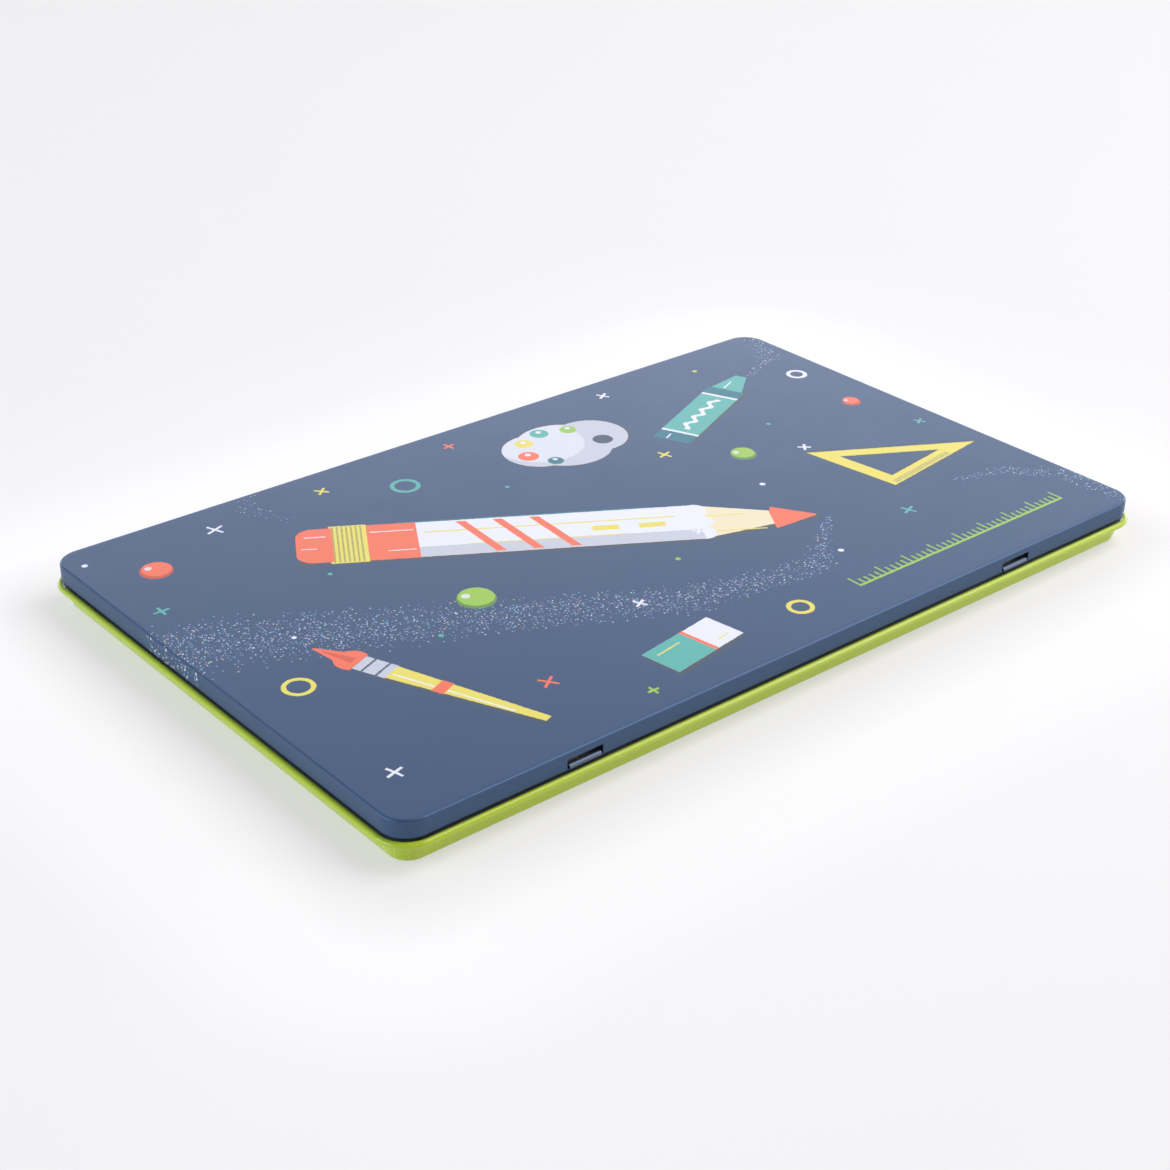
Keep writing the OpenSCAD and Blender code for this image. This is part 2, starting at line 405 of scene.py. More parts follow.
# %% [markdown]
# ## Carrying the line round the tin
#
# The tin is the same in all four quarters, so only one is made. The line is spun through a right
# angle around the middle of a corner, which makes the round corner, and the two open ends are then
# drawn out straight to the middle of the tin. Two mirrors make the rest. Picking faces and edges
# by where they are needs a helper, since there is no mouse here.

# %% Sweep, pick and finish
LENGTH, WIDTH, TOP = (lid_high.x - lid_low.x) / MM, (lid_high.y - lid_low.y) / MM, lid_high.z / MM
SHEET = 0.3
CORNER_STEPS = 14
NEAR, WELD = 0.001, 0.01
SHARP = math.radians(50)


def pick(kind, test):
    """Selects only the vertices, edges or faces whose middle, in millimetres, passes the test."""
    bpy.ops.mesh.select_all(action="DESELECT")
    bpy.ops.mesh.select_mode(type=kind)
    mesh = bmesh.from_edit_mesh(bpy.context.object.data)
    found = 0
    for item in {"VERT": mesh.verts, "EDGE": mesh.edges, "FACE": mesh.faces}[kind]:
        if kind == "VERT":
            middle = item.co / MM
        elif kind == "EDGE":
            middle = (item.verts[0].co + item.verts[1].co) / 2 / MM
        else:
            middle = item.calc_center_median() / MM
        if test(middle):
            item.select_set(True)
            found += 1
    mesh.select_flush(True)
    bmesh.update_edit_mesh(bpy.context.object.data)
    return found


def apply_modifier(piece, kind, **settings):
    """Adds a modifier with its settings and applies it."""
    only(piece)
    modifier = piece.modifiers.new(kind.lower(), kind)
    for name, value in settings.items():
        setattr(modifier, name, value)
    bpy.ops.object.modifier_apply(modifier=modifier.name)


def quarter_round(name, line, corner):
    """Carries a cross-section round one quarter, whose corner has that radius at out = 0."""
    mid_x, mid_y = LENGTH / 2 - corner, WIDTH / 2 - corner
    piece = draw_line(name, [Vector((mid_x + corner + p.x, mid_y, p.y)) for p in line])
    bpy.ops.mesh.spin(steps=CORNER_STEPS, angle=-math.pi / 2,
                      center=(mid_x * MM, mid_y * MM, 0), axis=(0, 0, 1))
    draw_out(-mid_x, 0, 0)
    pick("EDGE", lambda p: abs(p.y - mid_y) < NEAR and p.x > mid_x + NEAR)
    draw_out(0, -mid_y, 0)
    return piece


def all_round(piece):
    """Mirrors one quarter to the other three, and leaves the piece in edit mode."""
    apply_modifier(piece, "MIRROR", use_axis=(True, True, False), merge_threshold=WELD * MM)
    bpy.ops.object.mode_set(mode="EDIT")
    select_all()
    bpy.ops.mesh.remove_doubles(threshold=NEAR * MM)
    return piece


def close_panel(height, edge_out):
    """Fills the open loop at that height and that far out with one flat panel."""
    half_x, half_y = LENGTH / 2 + edge_out, WIDTH / 2 + edge_out
    found = pick("VERT", lambda p: abs(p.z - height) < NEAR and abs(p.x) < half_x + NEAR
                 and abs(p.y) < half_y + NEAR)
    bpy.ops.mesh.select_mode(type="EDGE")
    bpy.ops.mesh.edge_face_add()
    return found


def face_outward(test_point, direction):
    """Makes all faces agree, and turns them so that the one at test_point looks that way."""
    select_all()
    bpy.ops.mesh.normals_make_consistent(inside=False)
    mesh = bmesh.from_edit_mesh(bpy.context.object.data)
    face = min(mesh.faces, key=lambda f: (f.calc_center_median() / MM - Vector(test_point)).length)
    if face.normal.dot(Vector(direction)) < 0:
        bpy.ops.mesh.flip_normals()


def smooth(piece, angle=35):
    """Shades soft bends smoothly, keeps real edges crisp and flat panels flat."""
    only(piece)
    bpy.ops.object.shade_smooth_by_angle(angle=math.radians(angle))
    apply_modifier(piece, "WEIGHTED_NORMAL", keep_sharp=True, weight=80)
    return piece


print(f"lid {LENGTH:.1f} x {WIDTH:.1f} mm, top at {TOP:.1f} mm")

# %% [markdown]
# ## The lid
#
# The lid's side is short and ends in a curl: the sheet is rolled inward into a little tube, which
# hides the raw edge and makes it stiff. On the hinge side that tube is also the hinge's pin. The
# line runs down the outside: from the flat top over a tight edge, down the side and round the
# curl. Two windows for the hinge are cut before the sheet gets its thickness, so that their edges
# show it too. Bisecting only the faces of that side keeps the cuts short.

# %% The lid's outside, as a surface
SKIRT_FOOT = lid_low.z / MM
CURL, CURL_TURN = 0.75, 285
LID_EDGE, LID_CORNER, PANEL_EDGE = 0.7, 8.5, -2.2
AXIS_Y, AXIS_Z = WIDTH / 2 - CURL, SKIRT_FOOT + CURL
HINGE_X = 88.7
WINDOW_WIDTH, WINDOW_HEIGHT = 12.6, 3.0

lid_line = bent([(PANEL_EDGE, TOP, 0), (0, TOP, LID_EDGE), (0, AXIS_Z, 0)])
lid_line += arc(-CURL, AXIS_Z, CURL, 0, -CURL_TURN)[1:]
lid_shell = all_round(quarter_round("lid_shell", lid_line, LID_CORNER))
print("edge of the lid's panel:", close_panel(TOP, PANEL_EDGE), "points")
face_outward((0, 0, TOP), (0, 0, 1))

# %% Cut the hinge windows
IN_SHEET, BELOW, ABOVE = 0.02, 1, 2


def cut_opening(side, half_width, low, high, out):
    """Cuts a rectangular opening in the hinge side, around side * HINGE_X, and removes it."""
    middle, face_y = side * HINGE_X, WIDTH / 2 + out

    def on_side(p):
        return abs(p.y - face_y) < IN_SHEET and low - BELOW < p.z < high + ABOVE

    for edge in (middle - half_width, middle + half_width):
        pick("FACE", on_side)
        bpy.ops.mesh.bisect(plane_co=(edge * MM, 0, 0), plane_no=(1, 0, 0))
    for height in (low, high):
        pick("FACE", lambda p: on_side(p) and abs(p.x - middle) < half_width)
        bpy.ops.mesh.bisect(plane_co=(0, 0, height * MM), plane_no=(0, 0, 1))
    found = pick("FACE", lambda p: on_side(p) and abs(p.x - middle) < half_width
                 and low < p.z < high)
    bpy.ops.mesh.delete(type="FACE")
    return found


for side in (-1, 1):
    print("window:", cut_opening(side, WINDOW_WIDTH / 2, AXIS_Z, AXIS_Z + WINDOW_HEIGHT, 0))

# %% Give the lid its sheet thickness
def thicken(piece, sheet, outside, inside):
    """Gives a surface the thickness of its sheet, inward, and its two finishes."""
    for finish in (outside, inside):
        piece.data.materials.append(named(finish))
    apply_modifier(piece, "SOLIDIFY", thickness=sheet * MM, offset=-1, use_even_offset=True,
                   material_offset=1, material_offset_rim=0)


thicken(lid_shell, SHEET, "printed_enamel", "bare_tinplate")
smooth(lid_shell)
print("lid_shell has", len(lid_shell.data.polygons), "faces")

# %% [markdown]
# ## The base
#
# The base is deeper work. Its line starts under the raised bottom panel, drops to the flat foot,
# turns up round the foot's radius and leans out along the wall. Then it rolls out and over into
# the bead, the round rail just under the lid's curl. Behind the bead it drops to a low shoulder,
# which lies in shade under the lid, climbs as the neck inside the lid, and ends in a hem rolled
# inward. The lean of the wall comes from the two places that it joins.

# %% The base's outside, as a surface
FOOT_IN, WALL_TOP_IN = 3.9, 1.05
FOOT_RADIUS, PANEL_LIFT = 1.5, 0.5
RISER_OUT, FLOOR_EDGE = -6.2, -8.2
LID_GAP = 0.5
BEAD_TOP, BEAD_ROUND, BEAD_OUT = SKIRT_FOOT - LID_GAP, 1.0, 1.6
SHOULDER_DROP, BEAD_OVER = 0.4, 125
NECK_OUT = -1.7
UNDER_LID = 0.05
HEM, HEM_TURN, HEM_TOP = 0.5, 290, TOP - SHEET - UNDER_LID
BASE_CORNER, FOLD = 9.0, 0.3

bead_under = BEAD_TOP - 2 * BEAD_ROUND
run, rise = FOOT_IN - WALL_TOP_IN, bead_under - FOOT_RADIUS
lean = math.atan2(run, rise) - math.asin(FOOT_RADIUS / math.hypot(run, rise))
foot_line = -WALL_TOP_IN - bead_under * math.tan(lean)
base_line = bent([(FLOOR_EDGE, PANEL_LIFT, 0), (RISER_OUT, PANEL_LIFT, FOLD / 2),
                  (RISER_OUT, 0, FOLD / 2), (foot_line, 0, FOOT_RADIUS),
                  (-WALL_TOP_IN, bead_under, FOLD), (BEAD_OUT - BEAD_ROUND, bead_under, 0)])
base_line += arc(BEAD_OUT - BEAD_ROUND, BEAD_TOP - BEAD_ROUND, BEAD_ROUND, -90, BEAD_OVER)[1:]
over, drop_to = base_line[-1], BEAD_TOP - SHOULDER_DROP
valley = over.x - (over.y - drop_to) / math.tan(math.radians(BEAD_OVER - 90))
base_line += bent([(over.x, over.y, 0), (valley, drop_to, FOLD), (NECK_OUT, drop_to, FOLD),
                   (NECK_OUT, HEM_TOP - HEM, 0)])[1:]
base_line += arc(NECK_OUT - HEM, HEM_TOP - HEM, HEM, 0, HEM_TURN)[1:]
base_shell = all_round(quarter_round("base_shell", base_line, BASE_CORNER))
print("edge of the bottom panel:", close_panel(PANEL_LIFT, FLOOR_EDGE), "points")
face_outward((0, 0, PANEL_LIFT), (0, 0, -1))
print(f"the wall leans {math.degrees(lean):.1f} degrees")

# %% [markdown]
# ## Two hooked tongues
#
# Each hinge is a tongue of the neck itself, cut free on three sides, bent out through a window of
# the lid and hooked over the curl. So the neck has an opening behind each tongue, a little wider
# than the tongue. The tongue is drawn as an arc around the hinge's axis, drawn out to its width,
# and given the same sheet thickness. It stays clear of the curl by less than a tenth of a
# millimetre. Both are joined to the base, because they are one piece of metal with it. Enamel
# stops behind the bead: the shoulder and the neck, which the lid covers, are bare metal.

# %% Openings in the neck, bare metal, and the tongues
TONGUE_WIDTH, TONGUE_TURN, TONGUE_ROOT = 11.2, 185, -0.7
RUNNING_GAP, KERF, TONGUE_EDGE, MARGIN = 0.08, 0.15, 0.08, 0.1
tongue_radius = CURL + RUNNING_GAP + SHEET
tongue_length = math.radians(TONGUE_TURN) * (CURL + RUNNING_GAP + SHEET / 2)

for side in (-1, 1):
    print("opening:", cut_opening(side, TONGUE_WIDTH / 2 + KERF, AXIS_Z,
                                  AXIS_Z + tongue_length, NECK_OUT))
face_outward((0, 0, PANEL_LIFT), (0, 0, -1))
thicken(base_shell, SHEET, "lime_enamel", "bare_tinplate")


def how_far_out(p):
    """How far a point lies outside the line of the lid's side, also round the corners."""
    return math.hypot(max(abs(p.x) - LENGTH / 2 + BASE_CORNER, 0),
                      max(abs(p.y) - WIDTH / 2 + BASE_CORNER, 0)) - BASE_CORNER


bpy.ops.object.mode_set(mode="EDIT")
bare = pick("FACE", lambda p: p.z > drop_to - MARGIN and how_far_out(p) < valley + MARGIN)
base_shell.active_material_index = 1
bpy.ops.object.material_slot_assign()
print("faces of bare metal on the shoulder, the neck and the hem:", bare)


def hinge_tongue(side):
    """A tongue bent out of the neck and over the lid's curl."""
    line = arc(0, 0, tongue_radius, 180 - TONGUE_TURN, 180)
    line.append(Vector((-tongue_radius, TONGUE_ROOT)))
    start = side * HINGE_X - TONGUE_WIDTH / 2
    tongue = draw_line("hinge_tongue", [Vector((start, AXIS_Y + p.x, AXIS_Z + p.y)) for p in line])
    draw_out(TONGUE_WIDTH, 0, 0)
    face_outward((side * HINGE_X, AXIS_Y, AXIS_Z + tongue_radius), (0, 0, 1))
    # both sides of the tongue get the darker, bluish metal
    thicken(tongue, SHEET, "dark_bluish_tinplate", "dark_bluish_tinplate")
    apply_modifier(tongue, "BEVEL", width=TONGUE_EDGE * MM, segments=2, limit_method="ANGLE",
                   angle_limit=SHARP)
    return tongue


tongues = [hinge_tongue(side) for side in (-1, 1)]
only(base_shell, *tongues)
bpy.ops.object.join()
smooth(base_shell)
print("each tongue is", round(tongue_length, 2), "mm long and", TONGUE_WIDTH, "mm wide")

# %% [markdown]
# ## The grooved bed of the tray
#
# The tray is a plastic sheet, heated and sucked down over a mould, so it has no sharp edge
# anywhere. One groove is drawn with a round valley and a round crest, and an Array modifier
# repeats it for all the pencils. It starts half way up a slope, where the copies meet in a
# straight line. The row is cut to length, drawn out to the end of the bed, and then sinks in small
# steps to the floor of the finger trough. The tray is the same on both sides of that trough except
# for its length, so one half is mirrored there, and its far end is then moved out.

# %% Bed and finger trough
PENCILS = 36
TRAY_IN, TRAY_SHEET = 4.2, 0.4
BED_LENGTH = LENGTH - 2 * (TRAY_IN + TRAY_SHEET)
PITCH = BED_LENGTH / PENCILS
GROOVE_FLOOR, GROOVE_SLOPE = 2.6, math.radians(30)
VALLEY_BEND, CREST_BEND = 0.4, 0.5
CREST = GROOVE_FLOOR + PITCH / 2 * math.tan(GROOVE_SLOPE)
TRAY_FLOOR = PANEL_LIFT + SHEET + TRAY_SHEET
TROUGH_Y, TROUGH_WIDTH = -20, 34
BED_END = WIDTH / 2 - TRAY_IN - TRAY_SHEET / 2
SINK = [(0.3, 0.96), (0.25, 0.86), (0.15, 0.70), (0.1, 0.35), (0.15, 0.15), (0.25, 0.03),
        (0.3, 0.0)]


def groove_row():
    """The grooves' cross-section, as one line across the whole tray."""
    half_way = (GROOVE_FLOOR + CREST) / 2
    first = -(PENCILS + 1.5) / 2 * PITCH - PITCH / 2
    one = bent([(first, half_way, 0), (first + PITCH / 4, GROOVE_FLOOR, VALLEY_BEND),
                (first + PITCH * 3 / 4, CREST, CREST_BEND), (first + PITCH, half_way, 0)])
    row = draw_line("grooved_bed", [Vector((p.x, 0, p.y)) for p in one])
    apply_modifier(row, "ARRAY", count=PENCILS + 2, use_relative_offset=False,
                   use_constant_offset=True, constant_offset_displace=(PITCH * MM, 0, 0),
                   use_merge_vertices=True, merge_threshold=WELD * MM)
    bpy.ops.object.mode_set(mode="EDIT")
    half_length = (BED_LENGTH + TRAY_SHEET) / 2
    for side in (-1, 1):
        select_all()
        bpy.ops.mesh.bisect(plane_co=(side * half_length * MM, 0, 0), plane_no=(side, 0, 0),
                            clear_outer=True)
    return row


bed = groove_row()
near_end = -BED_END - TROUGH_Y
select_all()
shift(0, near_end, 0)
draw_out(0, -TROUGH_WIDTH / 2 - near_end, 0)
sunk = 1.0
for step, height in SINK:
    draw_out(0, step, 0)
    bpy.ops.transform.resize(value=(1, 1, height / sunk), center_override=(0, 0, TRAY_FLOOR * MM))
    sunk = height
draw_out(0, TROUGH_WIDTH / 2 - sum(step for step, height in SINK), 0)
apply_modifier(bed, "MIRROR", use_axis=(False, True, False), merge_threshold=WELD * MM)
bpy.ops.object.mode_set(mode="EDIT")
print("points at the far end:", pick("VERT", lambda p: p.y > -near_end - NEAR))
shift(0, BED_END + near_end - TROUGH_Y, 0)
select_all()
shift(0, TROUGH_Y, 0)
face_outward((0, TROUGH_Y, TRAY_FLOOR), (0, 0, 1))

# %% [markdown]
# ## The tray's wall and flange
#
# The wall and the flange go round the tray, so they are carried round like the metal. They have
# different corners, though: the wall's are tight, because the end pencils lie close to it, and
# the flange's are as round as the tin's. A quarter of each is made with its own corner, and the
# gap between them is bridged, which works because both edges have the same number of points.

# %% Wall, flange and the whole tray
TRAY_TOP, FLANGE_OUT, WALL_CORNER = 11.5, -2.4, 7.1
LIP, LIP_BEND, RIM, RIM_DROP = 0.25, 0.6, 0.15, 0.1

wall_line = bent([(-TRAY_IN - TRAY_SHEET, PANEL_LIFT + SHEET, 0),
                  (-TRAY_IN - TRAY_SHEET, TRAY_TOP, LIP_BEND), (-TRAY_IN + LIP, TRAY_TOP, 0)])
tray_wall = quarter_round("tray_wall", wall_line, WALL_CORNER)
flange_line = [Vector((FLANGE_OUT - RIM, TRAY_TOP)), Vector((FLANGE_OUT, TRAY_TOP - RIM_DROP))]
flange = quarter_round("tray_flange", flange_line, BASE_CORNER)
only(tray_wall, flange)
bpy.ops.object.join()
bpy.ops.object.mode_set(mode="EDIT")
bpy.ops.mesh.select_mode(type="EDGE")
bpy.ops.mesh.select_all(action="DESELECT")
mesh = bmesh.from_edit_mesh(tray_wall.data)
for edge in mesh.edges:
    tops = [corner.co / MM for corner in edge.verts]
    along = any(abs(tops[0][k]) < NEAR and abs(tops[1][k]) < NEAR for k in (0, 1))
    if edge.is_boundary and not along and min(p.z for p in tops) > TRAY_TOP - NEAR:
        edge.select_set(True)
bmesh.update_edit_mesh(tray_wall.data)
bpy.ops.mesh.bridge_edge_loops()
all_round(tray_wall)
face_outward((LENGTH / 4, WIDTH / 2 + FLANGE_OUT - TRAY_SHEET, TRAY_TOP), (0, 0, 1))
for piece in (bed, tray_wall):
    apply_modifier(piece, "SOLIDIFY", thickness=TRAY_SHEET * MM, offset=-1, use_even_offset=True)
only(bed, tray_wall)
bpy.ops.object.join()
tray = bed
tray.name = tray.data.name = "grooved_tray"
tray.data.materials.append(named("white_plastic"))
smooth(tray, angle=40)
print("grooved_tray has", len(tray.data.polygons), "faces")

# %% [markdown]
# ## One pencil
#
# A pencil starts as a six-sided rod with softly rounded corners. A sharpener turns a cone, and
# where the cone meets the six flats it leaves the scalloped edge of paint that every sharpened
# pencil has. A Boolean does exactly that: the rod is intersected with one very long cone, so slim
# that it only bites near the point. A second Boolean bores the hole for the lead. The pencil is
# made once, lying in the middle, and each groove gets a copy with its own mesh.

# %% Rod, sharpened cone and bore
PENCIL_LENGTH, PENCIL_RADIUS = 175, 7 / 2 / math.cos(math.radians(30))
LEAD_RADIUS, POINT_RADIUS, CONE = 1.5, 0.35, math.radians(10.5)
PENCIL_EDGE, GROOVE_GAP = 0.45, 0.05
ROUND, OVERRUN = 48, 5
PENCIL_Z = GROOVE_FLOOR + PENCIL_RADIUS + GROOVE_GAP


def turned(name, radius_back, radius_front, y_back, y_front, sides):
    """A rod or cone along Y between two places, for building a pencil."""
    only()
    bpy.ops.mesh.primitive_cone_add(
        vertices=sides, radius1=radius_back * MM, radius2=radius_front * MM,
        depth=(y_front - y_back) * MM)
    piece = bpy.context.object
    piece.name = piece.data.name = name
    lay = Matrix.Translation((0, (y_back + y_front) / 2 * MM, PENCIL_Z * MM))
    piece.data.transform(lay @ Matrix.Rotation(-math.pi / 2, 4, "X"))
    return piece


back_end, front_end = -PENCIL_LENGTH / 2, PENCIL_LENGTH / 2
rod = turned("pencil", PENCIL_RADIUS, PENCIL_RADIUS, back_end, front_end, 6)
apply_modifier(rod, "BEVEL", width=PENCIL_EDGE * MM, segments=3, limit_method="ANGLE",
               angle_limit=SHARP)
sharpener = turned("sharpener", POINT_RADIUS + PENCIL_LENGTH * math.tan(CONE), POINT_RADIUS,
                   back_end, front_end, ROUND)
bore = turned("bore", LEAD_RADIUS, LEAD_RADIUS, back_end - OVERRUN, front_end + OVERRUN, ROUND)
for cutter, operation in ((sharpener, "INTERSECT"), (bore, "DIFFERENCE")):
    apply_modifier(rod, "BOOLEAN", object=cutter, operation=operation, solver="EXACT")
    bpy.data.objects.remove(cutter)
print("one pencil has", len(rod.data.polygons), "faces")

# %% [markdown]
# ## A row of pencils
#
# Two finishes meet on a pencil: lacquer on the flats, and bare wood on the cone, on the sawn end
# and in the hole for the lead. The faces are told apart by where they look: a face of the cone
# leans forward a little, the sawn end looks straight back, and what is left close to the axis is
# the hole. The lead is the engineering model's own, because its shape is right already.

# %% Tell the wood from the lacquer, then copy the pencil
LEANS_FORWARD, LOOKS_BACK, BORE_SLACK = 0.1, -0.9, 0.02

for finish in ("lacquer", "cedar"):
    rod.data.materials.append(named(finish))
for face in rod.data.polygons:
    middle = face.center / MM
    ends = face.normal.y > LEANS_FORWARD or face.normal.y < LOOKS_BACK
    hole = math.hypot(middle.x, middle.z - PENCIL_Z) < LEAD_RADIUS + BORE_SLACK
    face.material_index = 1 if ends or hole else 0
smooth(rod, angle=40)
casings = []
for number in range(1, PENCILS + 1):
    casing = rod.copy()
    casing.data = rod.data.copy()
    casing.name = casing.data.name = f"casing_{number:02d}"
    bpy.context.scene.collection.objects.link(casing)
    casing.data.transform(Matrix.Translation(((number - (PENCILS + 1) / 2) * PITCH * MM, 0, 0)))
    casing.data.materials[0] = named(f"lacquer_{number:02d}")
    casings.append(casing)
bpy.data.objects.remove(rod)
print(len(casings), "casings, the first at x =", round(casings[0].data.vertices[0].co.x / MM, 1))

# %% [markdown]
# ## The picture on the lid: its paper
#
# A tin like this is printed flat, as a sheet, before it is pressed. The picture is drawn here in
# the same way: on flat coordinates across the lid, a to the right and b up, for somebody who sits
# on the hinge side. It needs no image file. Every shape is a formula for the distance to its own
# outline, less than nothing inside, and ink goes down where the distance is negative. A little
# noise is added to the coordinates first, so that edges look cut and stamped by hand.

# %% Coordinates of the print, and the navy ground
INK = {"navy": paint(61, 86, 117), "night": paint(61, 81, 113), "white": paint(222, 220, 229),
       "pearl": paint(190, 191, 203), "coral": paint(232, 110, 80), "rust": paint(198, 80, 56),
       "lemon": paint(222, 206, 92), "cream": paint(228, 213, 178), "teal": paint(88, 168, 160),
       "deep teal": paint(40, 112, 127), "lime": paint(148, 187, 74), "moss": paint(95, 138, 60),
       "shade": paint(70, 78, 88), "slate": paint(78, 95, 110)}
place, plug_print = start_finish("printed_enamel", Specular_IOR_Level=0.25)
flat = place.vector("MULTIPLY", place, (-1, -1, 0))
shake = place.node("ShaderNodeTexNoise", inputs={"Vector": flat, "Scale": 0.9, "Detail": 2.0},
                   output="Color")
shake = shake.vector("MULTIPLY_ADD", shake, (0.5, 0.5, 0), (-0.25, -0.25, 0))
art = flat.vector("ADD", flat, shake)
ground = noise(flat, 70)
print("inks:", ", ".join(INK))

# %% [markdown]
# ## Ink, shapes and motifs
#
# Three shapes are enough to draw with: a box, a slab that tapers, and a disc. They all return a
# distance, so `least` joins two shapes and `most` keeps what they share. A motif is a drawing with
# its own axes, u along it and v across it, so it is drawn straight and only then turned and put in
# its place. Each layer of ink covers what lies under it, in the order of the lines below, exactly
# as the printer's plates do.

# %% Drawing helpers
EDGE = 0.09


def band(value, low, high):
    """How far a value lies outside a range. Inside, it is negative."""
    return abs(value - (low + high) / 2) - (high - low) / 2


class Print:
    """The picture so far: one color, to which every layer of ink is added, and where the
    metallic ground still shows."""

    def __init__(self, color):
        self.color, self.bare, self.layers = color, None, 0

    def ink(self, distance, name, strength=1.0):
        """Prints an ink where the distance is negative. The outline is a little soft."""
        mask = distance.math("MULTIPLY_ADD", distance, -0.5 / EDGE, 0.5, clamp=True)
        self.dab(mask * strength if strength < 1 else mask, INK[name])

    def dab(self, mask, color):
        self.color = self.color.mixed(mask, color)
        self.bare = 1 - mask if self.bare is None else self.bare.least(1 - mask)
        self.layers += 1


class Motif:
    """A drawing with its own axes in millimetres, turned and put at a place on the lid."""

    def __init__(self, a, b, turn=0):
        self.spot = art.node("ShaderNodeMapping", {"vector_type": "TEXTURE"}, {
            "Vector": art, "Location": (a, b, 0), "Rotation": (0, 0, math.radians(turn))})
        self.u, self.v = self.spot.parts()[:2]

    def box(self, left, right, low, high):
        return band(self.u, left, right).most(band(self.v, low, high))

    def taper(self, start, start_half, end, end_half, aside=None):
        """A slab along u that narrows or widens. Its middle can lie a little aside."""
        slope = (end_half - start_half) / (end - start)
        across = abs(self.v + aside if aside else self.v)
        half = self.u * slope + (start_half - start * slope)
        return (across - half).most(band(self.u, start, end))

    def disc(self, u, v, radius):
        return self.spot.vector("DISTANCE", self.spot, (u, v, 0), output=1) - radius


picture = Print(ground.between(INK["night"], INK["navy"]))
ink = picture.ink
print("the ground is laid")

# %% [markdown]
# ## Glitter trails
#
# Trails of glitter cross the lid and run over its edge. Glitter is thousands of dots, so it is one
# cellular pattern, with a dot in the middle of each cell. Whether a cell has its dot depends on
# how far the middle of the dot is from the path of a trail, not on the point that is being
# colored, so dots stay whole at the rim of a trail. The cells are laid out in three dimensions,
# and so the dots stay round where the trail turns down the lid's side.

# %% Paths and glitter
def along(point, path):
    """How deep a point lies in a trail: 1 on its path, 0 at its rim and beyond.
    The path is a list of (a, b, half width)."""
    deepest = None
    for (a0, b0, half0), (a1, b1, half1) in zip(path, path[1:]):
        run_a, run_b = a1 - a0, b1 - b0
        squared = run_a ** 2 + run_b ** 2
        offset = point.vector("SUBTRACT", point, (a0, b0, 0))
        share = offset.vector("DOT_PRODUCT", offset, (run_a / squared, run_b / squared, 0),
                              output=1).within()
        foot = share.node("ShaderNodeVectorMath", {"operation": "SCALE"},
                          {0: (run_a, run_b, 0), "Scale": share})
        gap = offset.vector("DISTANCE", offset, foot, output=1)
        depth = 1 - gap / (share * (half1 - half0) + half0)
        deepest = depth if deepest is None else deepest.most(depth)
    return deepest.within()


SCRIBBLE = [(59, -39, 2), (34, -60, 6), (-12, -52, 10), (-55, -28, 12), (-98, -6, 15),
            (-136, 14, 18), (-166, 22, 20)]
FAR_TRAIL = [(121, 62, 2), (138, 70, 5), (149, 84, 7), (152, 104, 8)]
CORNER_TRAIL = [(112, -46, 1.5), (132, -52, 4), (146, -66, 6), (150, -86, 8), (148, -104, 8)]
FAINT_TRAIL = [(-70, 104, 8), (-84, 84, 6), (-78, 70, 3)]
DOT_EDGE = 0.08


def glitter(size, dot, fill, *colors):
    """One layer of dots: cell size in millimetres, size of a dot, share of dots, and colors."""
    solid = place.vector("MULTIPLY", place, (-1, -1, 1))
    from_middle = solid.node("ShaderNodeTexVoronoi", inputs={
        "Vector": solid, "Scale": 1 / size, "Randomness": 1.0})
    cell = from_middle.socket.node.outputs
    middle = Wire(solid.tree, cell["Position"])
    chance, tint, grow = Wire(solid.tree, cell["Color"]).parts()
    middle = middle.vector("MULTIPLY", middle, (1, 1, 0))
    trails = along(middle, SCRIBBLE)
    for path, share in ((FAR_TRAIL, 0.6), (CORNER_TRAIL, 0.8), (FAINT_TRAIL, 0.35)):
        trails = trails.most(along(middle, path) * share)
    kept = chance.math("LESS_THAN", chance, trails * fill)
    size_here = grow * dot + dot * 0.5
    shape = (size_here - from_middle) / DOT_EDGE
    picture.dab(shape.within() * kept, tint.ramp(*colors, interpolation="CONSTANT"))


LAVENDER, CYAN = paint(150, 150, 196), paint(122, 196, 214)
glitter(0.9, 0.27, 1.3, (0.0, LAVENDER), (0.45, paint(112, 122, 168)), (0.7, CYAN),
        (0.85, paint(206, 206, 226)))
glitter(1.6, 0.22, 1.1, (0.0, INK["white"]), (0.4, INK["lemon"]), (0.6, CYAN),
        (0.8, paint(236, 196, 186)), (0.9, INK["white"]))
print("glitter layers:", picture.layers)

# %% [markdown]
# ## The large pencil
#
# The largest motif is a fat pencil that lies across the lid from the upper left to the lower
# right. It is drawn from the back to the front: a shadow a little aside, the barrel with its
# facets, the ferrule and the rubber at one end, and the sharpened wood with a coral point at the
# other. The three discs at the front of the barrel are the scallops that sharpening leaves.

# %% Print the large pencil
large = Motif(-14, 8, -31)
ink(large.taper(46, 12, 85, 1.5, aside=1.3).least(large.box(-84, 47, -13.6, 11)), "shade")
ink(large.taper(44, 12, 84, 0.4), "cream")
ink(large.taper(69, 8, 84, 0.4).most(large.disc(92, -3, 24)), "coral")
ink(large.box(44, 66, -7.6, -7.0).least(large.box(46, 61, 3.4, 3.9)), "lemon")
barrel = large.box(-60, 46, -12, 12)
scallops = large.disc(45, -8, 4.2), large.disc(45.5, 0, 4.4), large.disc(45, 8, 4.2)
ink(barrel.least(scallops[0]).least(scallops[1]).least(scallops[2]), "white")
ink(large.box(-60, 45, -12, -5.2), "pearl")
ink(large.box(-44, 38, 4.4, 5.2).least(large.box(-30, 20, -5.4, -4.8)), "lemon")
ink(large.box(-52, 30, 12, 12.9), "deep teal")
leaning = large.u + large.v * 0.5 + 32
bars = 4.4 - leaning.folded(6.0)
ink(bars.most(band(leaning, 0, 36).most(band(large.v, -11, 11))), "coral")
